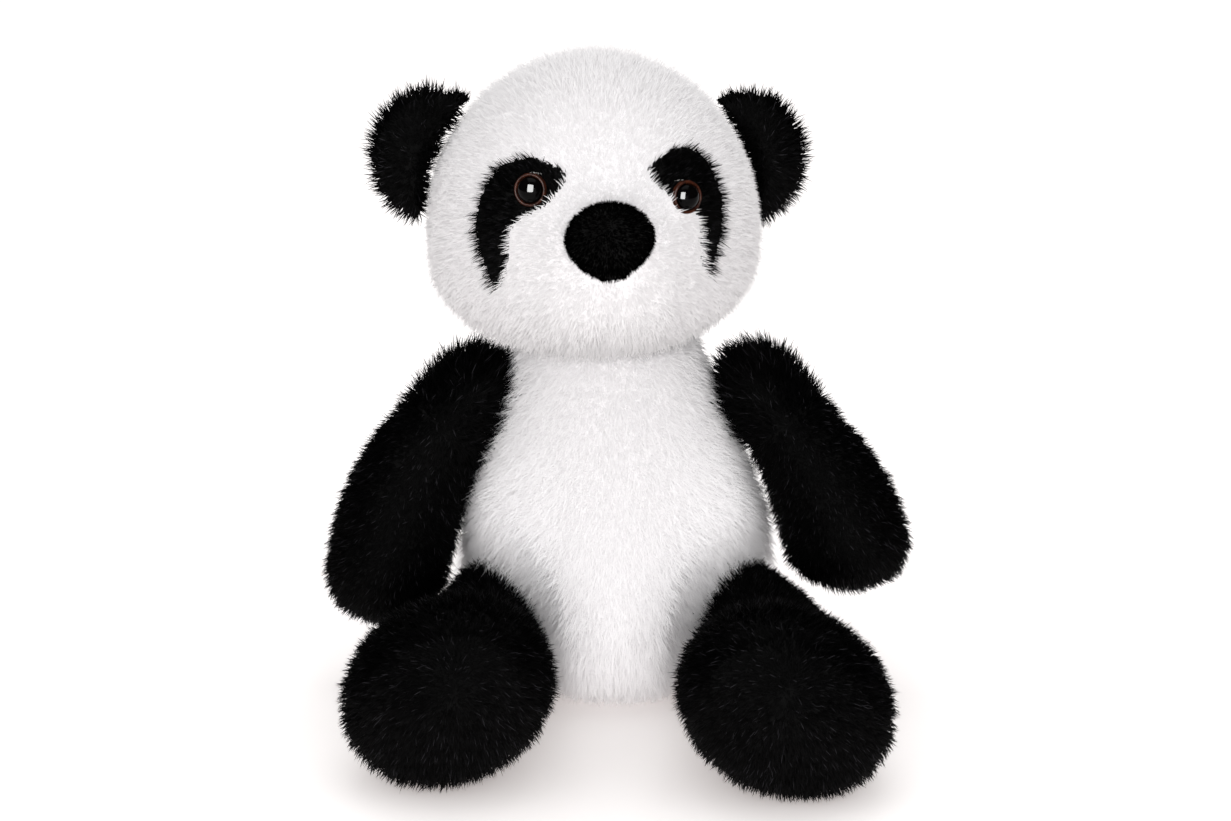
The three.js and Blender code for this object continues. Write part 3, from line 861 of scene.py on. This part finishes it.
# ------------------------------------------------------------------------------------------ body and limbs
NECKLINE = (167 * MM, 38 * MM, 34 * MM)  # height, half width and half depth of the torso's rounded top
TORSO_REACH = 32 * MM  # as REACH, but up to the closed neckline
BELLY_PILE = 8.5 * MM
FLANK_PILE = 11.5 * MM  # towards the arms
FRINGE = 17 * MM  # where the belly hangs over the legs


def neckline():
    """A ring of points that closes the torso up to the chin."""
    height, wide, deep = NECKLINE
    x, y, _ = JOINT_AT["head_turn"]
    angles = np.linspace(0, 2 * math.pi, 24, endpoint=False)
    return np.stack([x + wide * np.cos(angles), y + deep * np.sin(angles), np.full(24, height)], axis=1)


def make_torso():
    names = ["torso_front_panel", "torso_back_panel_left", "torso_back_panel_right", "shoulder_yoke"]
    panels = Panels(names)
    skin = make_skin("torso_skin", "torso", names, panels, hull=neckline(), depth=1.6 * MM, rounds=10)
    dress_skin(skin, backing_by_panel(skin, panels))
    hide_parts("torso_stuffing")
    legs = Panels([f"leg_{side}_top_panel" for side, _ in SIDES])

    def length(points):
        fringe = np.interp(legs.distances(points).min(1), [0.002, 0.018], [FRINGE, BELLY_PILE])
        flank = np.interp(np.abs(points[:, 0]), [0.035, 0.055], [BELLY_PILE, FLANK_PILE])
        return np.maximum(fringe, flank)

    def comb(points):
        """Down, and outwards at the flanks."""
        x, y, _ = points.T
        return np.stack([x * 6, y * 2, -np.ones(len(points))], axis=1)

    pile = Pile(length, comb, lean=0.75)
    furred(skin, "torso", panels, pile, 21, reach=TORSO_REACH)


COLLAR = ((148, 28), (154, 31), (164, 32.5), (176, 33), (184, 29))  # heights and half widths, in mm
COLLAR_DEPTH = 0.86  # its depth against its width
NECK_BAND = 12 * MM  # pile grows on the neck only this near to the neckline


def make_neck():
    """The neck's fabric, gathered between the head and the body. It hides the ball and its thread."""
    panels = Panels(["neck_stuffing"])
    x, y, _ = JOINT_AT["head_turn"]
    profile = [(0, COLLAR[0][0])] + [(r, z) for z, r in COLLAR] + [(0, COLLAR[-1][0])]
    profile = [(r * MM, z * MM) for r, z in profile]
    skin = lathe("neck_skin", profile, 48, (x, y, 0), (0, 0, 1))
    skin.data.transform(Matrix.Diagonal((1, COLLAR_DEPTH, 1, 1)))
    skin.data = with_modifier(skin.data, "REMESH", mode="VOXEL", voxel_size=3 * MM)
    smooth(skin.data, 6)
    for polygon in skin.data.polygons:
        polygon.use_smooth = True
    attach(skin, "neck_core")
    dress_skin(skin, "white_backing")
    pile = Pile(same_length(7), lambda points: np.tile([0.0, 0.0, -1.0], (len(points), 1)))
    furred(skin, "neck_core", panels, pile, 22, lambda points: np.abs(points[:, 2] - NECKLINE[0]) > NECK_BAND)


LIMB_PILE = 6.8  # length in mm
SHOULDER_PILE = 11.5


def limb_comb(start, end):
    direction = unit(end - start)
    return lambda points: np.tile(direction, (len(points), 1)) + unit(points - end) * 0.25


HAND_POINTS = 400  # how many of a skin's points, the farthest from the shoulder, count as the hand


def make_arm(side, seed):
    body = f"arm_{side}"
    names = [f"{body}_front_panel", f"{body}_back_panel"]
    panels = Panels(names)
    skin = make_skin(f"{body}_skin", body, names + [f"{body}_stuffing"], panels, depth=2.0 * MM)
    dress_skin(skin, "black_backing")
    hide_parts(f"{body}_stuffing")
    shoulder = JOINT_AT[f"{body}_swing"]
    points = arrays_of(skin.data)[0]
    hand = points[near(points, shoulder).argsort()[-HAND_POINTS:]].mean(0)

    def length(points):
        """Longer on top of the shoulder, where it hides the seam."""
        return np.interp(near(points, shoulder), [0.02, 0.036], [SHOULDER_PILE * MM, LIMB_PILE * MM])

    along_arm = limb_comb(shoulder, hand)
    towards_neck = np.array([-0.8 * np.sign(shoulder[0]), 0.0, 1.0])

    def comb(points):
        """Down the arm, but up towards the neck round the shoulder."""
        at_top = np.interp(near(points, shoulder), [0.018, 0.034], [1, 0])[:, None]
        return along_arm(points) * (1 - at_top) + towards_neck * at_top

    pile = Pile(length, comb, width=BLACK_WIDTH)
    furred(skin, body, panels, pile, seed)


def make_leg(side, seed):
    body = f"leg_{side}"
    names = [f"{body}_{part}_panel" for part in ("top", "under", "sole")]
    panels = Panels(names)
    skin = make_skin(f"{body}_skin", body, names + [f"{body}_stuffing"], panels, depth=1.4 * MM)
    dress_skin(skin, "black_backing")
    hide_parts(f"{body}_stuffing")
    hip = JOINT_AT[f"{body}_lift"]
    sole = centre_of(f"{body}_sole_panel")
    on_leg = limb_comb(hip, sole)

    def comb(points):
        at_sole = np.clip((sole[1] + 0.02 - points[:, 1]) / 0.02, 0, 1)[:, None]
        radial = unit(points - sole) + np.array([0, 0, -0.7])
        return on_leg(points) * (1 - at_sole) + radial * at_sole

    pile = Pile(same_length(LIMB_PILE), comb, width=BLACK_WIDTH)
    furred(skin, body, panels, pile, seed)


SEAM_SHRINK = 0.7  # how small a joint's thread ring is drawn in, so that the pile closes over it


def drawn_in(points):
    middle = (points.min(0) + points.max(0)) / 2
    return middle + (points - middle) * SEAM_SHRINK


def make_joint_seams():
    """The threads of the neck, the shoulders and the hips, each drawn together round its joint."""
    for body, nodes in BODIES.items():
        for node in nodes:
            if node.startswith(("shoulder_seam", "hip_seam", "neck_seam")):
                changed_copy(node, node + "_drawn_in", body, drawn_in)


# ------------------------------------------------------------------------------------------ stage
FLOOR_GLOW = (0.32, 0.285, 0.275)  # light that the paper sends back into the shadows


def make_floor():
    mesh = bpy.data.meshes.new("floor")
    half = 4.0
    corners = [(-half, -half, 0), (half, -half, 0), (half, half, 0), (-half, half, 0)]
    mesh.from_pydata(corners, [], [(0, 1, 2, 3)])
    floor = add_object("floor", mesh)
    n = Nodes("floor_paper")
    paper = n.ramp(n.noise(n.position(), 6, 2), [(0.3, (0.89, 0.89, 0.89)), (0.7, (0.91, 0.91, 0.91))])
    n.link(paper, n.shader.inputs["Base Color"])
    n.set(Roughness=0.9, Specular_IOR_Level=0.1, Emission_Strength=1.0)
    n.shader.inputs["Emission Color"].default_value = (*FLOOR_GLOW, 1)
    mesh.materials.append(n.material)


def aim(obj, target):
    direction = Vector(target) - obj.location
    obj.rotation_euler = direction.to_track_quat("-Z", "Y").to_euler()


def make_light(name, place, size, power, target=(0, -0.03, 0.15)):
    data = bpy.data.lights.new(name, "AREA")
    data.shape = "RECTANGLE"
    data.size, data.size_y = size
    data.energy = power
    lamp = bpy.data.objects.new(name, data)
    bpy.context.scene.collection.objects.link(lamp)
    lamp.location = place
    aim(lamp, target)
    return lamp


def make_catch_light():
    """A tall window that only the eyes reflect."""
    lamp = make_light("catch", (-0.3, -1.2, 0.78), (1.0, 1.3), 620, target=(0, -0.06, 0.245))
    lamp.visible_diffuse = False
    light_only(lamp, "eyes", EYE_PIECES)


def make_belly_cards():
    """Small lamps that light only the belly, as white cards do: one low between the feet, and one that looks
    in between each arm and its thigh."""
    belly = [bpy.data.objects[f"torso_front_panel_fur_{side}"] for side, _ in SIDES]
    low = make_light("card", (0.0, -0.16, 0.012), (0.07, 0.012), 0.024, target=(0, -0.06, 0.04))
    low.visible_camera = False
    light_only(low, "belly", belly)
    for side, sign in SIDES:
        place, target = (sign * 0.085, -0.13, 0.105), (sign * 0.058, -0.045, 0.085)
        lamp = make_light(f"card_{side}", place, (0.03, 0.06), 0.005, target)
        lamp.data.spread = math.radians(75)
        lamp.visible_camera = False
        light_only(lamp, f"belly_{side}", belly)


def light_only(lamp, name, pieces):
    """Lets a lamp light these pieces only."""
    group = bpy.data.collections.new(name)
    for piece in pieces:
        group.objects.link(piece)
    lamp.light_linking.receiver_collection = group


AMBIENT = 0.8  # strength of the even light that the room sends from all round
BACKDROP = 1.02  # how bright the white backdrop looks


def make_studio():
    world = bpy.data.worlds.new("studio")
    bpy.context.scene.world = world
    world.use_nodes = True
    background = world.node_tree.nodes["Background"]
    background.inputs["Color"].default_value = (1, 1, 1, 1)
    path = world.node_tree.nodes.new("ShaderNodeLightPath")
    mix = world.node_tree.nodes.new("ShaderNodeMix")
    mix.inputs["A"].default_value = AMBIENT
    mix.inputs["B"].default_value = BACKDROP
    world.node_tree.links.new(path.outputs["Is Camera Ray"], mix.inputs["Factor"])
    world.node_tree.links.new(mix.outputs["Result"], background.inputs["Strength"])
    world.cycles_visibility.glossy = False
    make_light("key", (-0.45, -1.5, 0.55), (0.8, 0.8), 3.2)
    make_light("fill", (0.45, -1.5, 0.45), (0.8, 0.8), 3.2)
    make_light("top", (0.0, 0.2, 1.6), (1.2, 1.2), 6)
    front = make_light("front", (0.0, -1.3, 0.22), (1.2, 0.5), 4.3)
    rear = make_light("rear", (0.0, 1.5, 0.6), (1.2, 0.8), 9)
    white = [piece for piece in bpy.data.objects if piece.get("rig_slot") == "white_fur"]
    light_only(front, "white pile in front", white)
    light_only(rear, "white pile behind", white)
    make_belly_cards()
    make_catch_light()
    bpy.context.scene.view_settings.view_transform = "Standard"


CAMERA_TARGET = (0.0, -0.035, 0.140)
CAMERA_DISTANCE = 1.2
CAMERA_RISE = math.radians(19.5)
CAMERA_LENS = 78.7


def make_camera():
    data = bpy.data.cameras.new("camera")
    data.lens = CAMERA_LENS
    data.sensor_width = 36
    data.clip_start = 0.05
    camera = bpy.data.objects.new("camera", data)
    bpy.context.scene.collection.objects.link(camera)
    back = Vector((0, -math.cos(CAMERA_RISE), math.sin(CAMERA_RISE))) * CAMERA_DISTANCE
    camera.location = Vector(CAMERA_TARGET) + back
    aim(camera, CAMERA_TARGET)
    bpy.context.scene.camera = camera


# ------------------------------------------------------------------------------------------ assembly
make_camera()
make_head()
make_muzzle_seam()
make_nose()
for number, (side_name, _) in enumerate(SIDES):
    make_eye(side_name)
    make_ear(side_name, 31 + number)
    make_arm(side_name, 41 + number)
    make_leg(side_name, 51 + number)
make_neck()
make_torso()
make_joint_seams()
for node_name, node_object in NODES.items():
    if not node_object.hide_render:
        node_object.data.materials.clear()
        node_object.data.materials.append(MATERIALS[NODE_SLOT[node_name]])
make_floor()
make_studio()
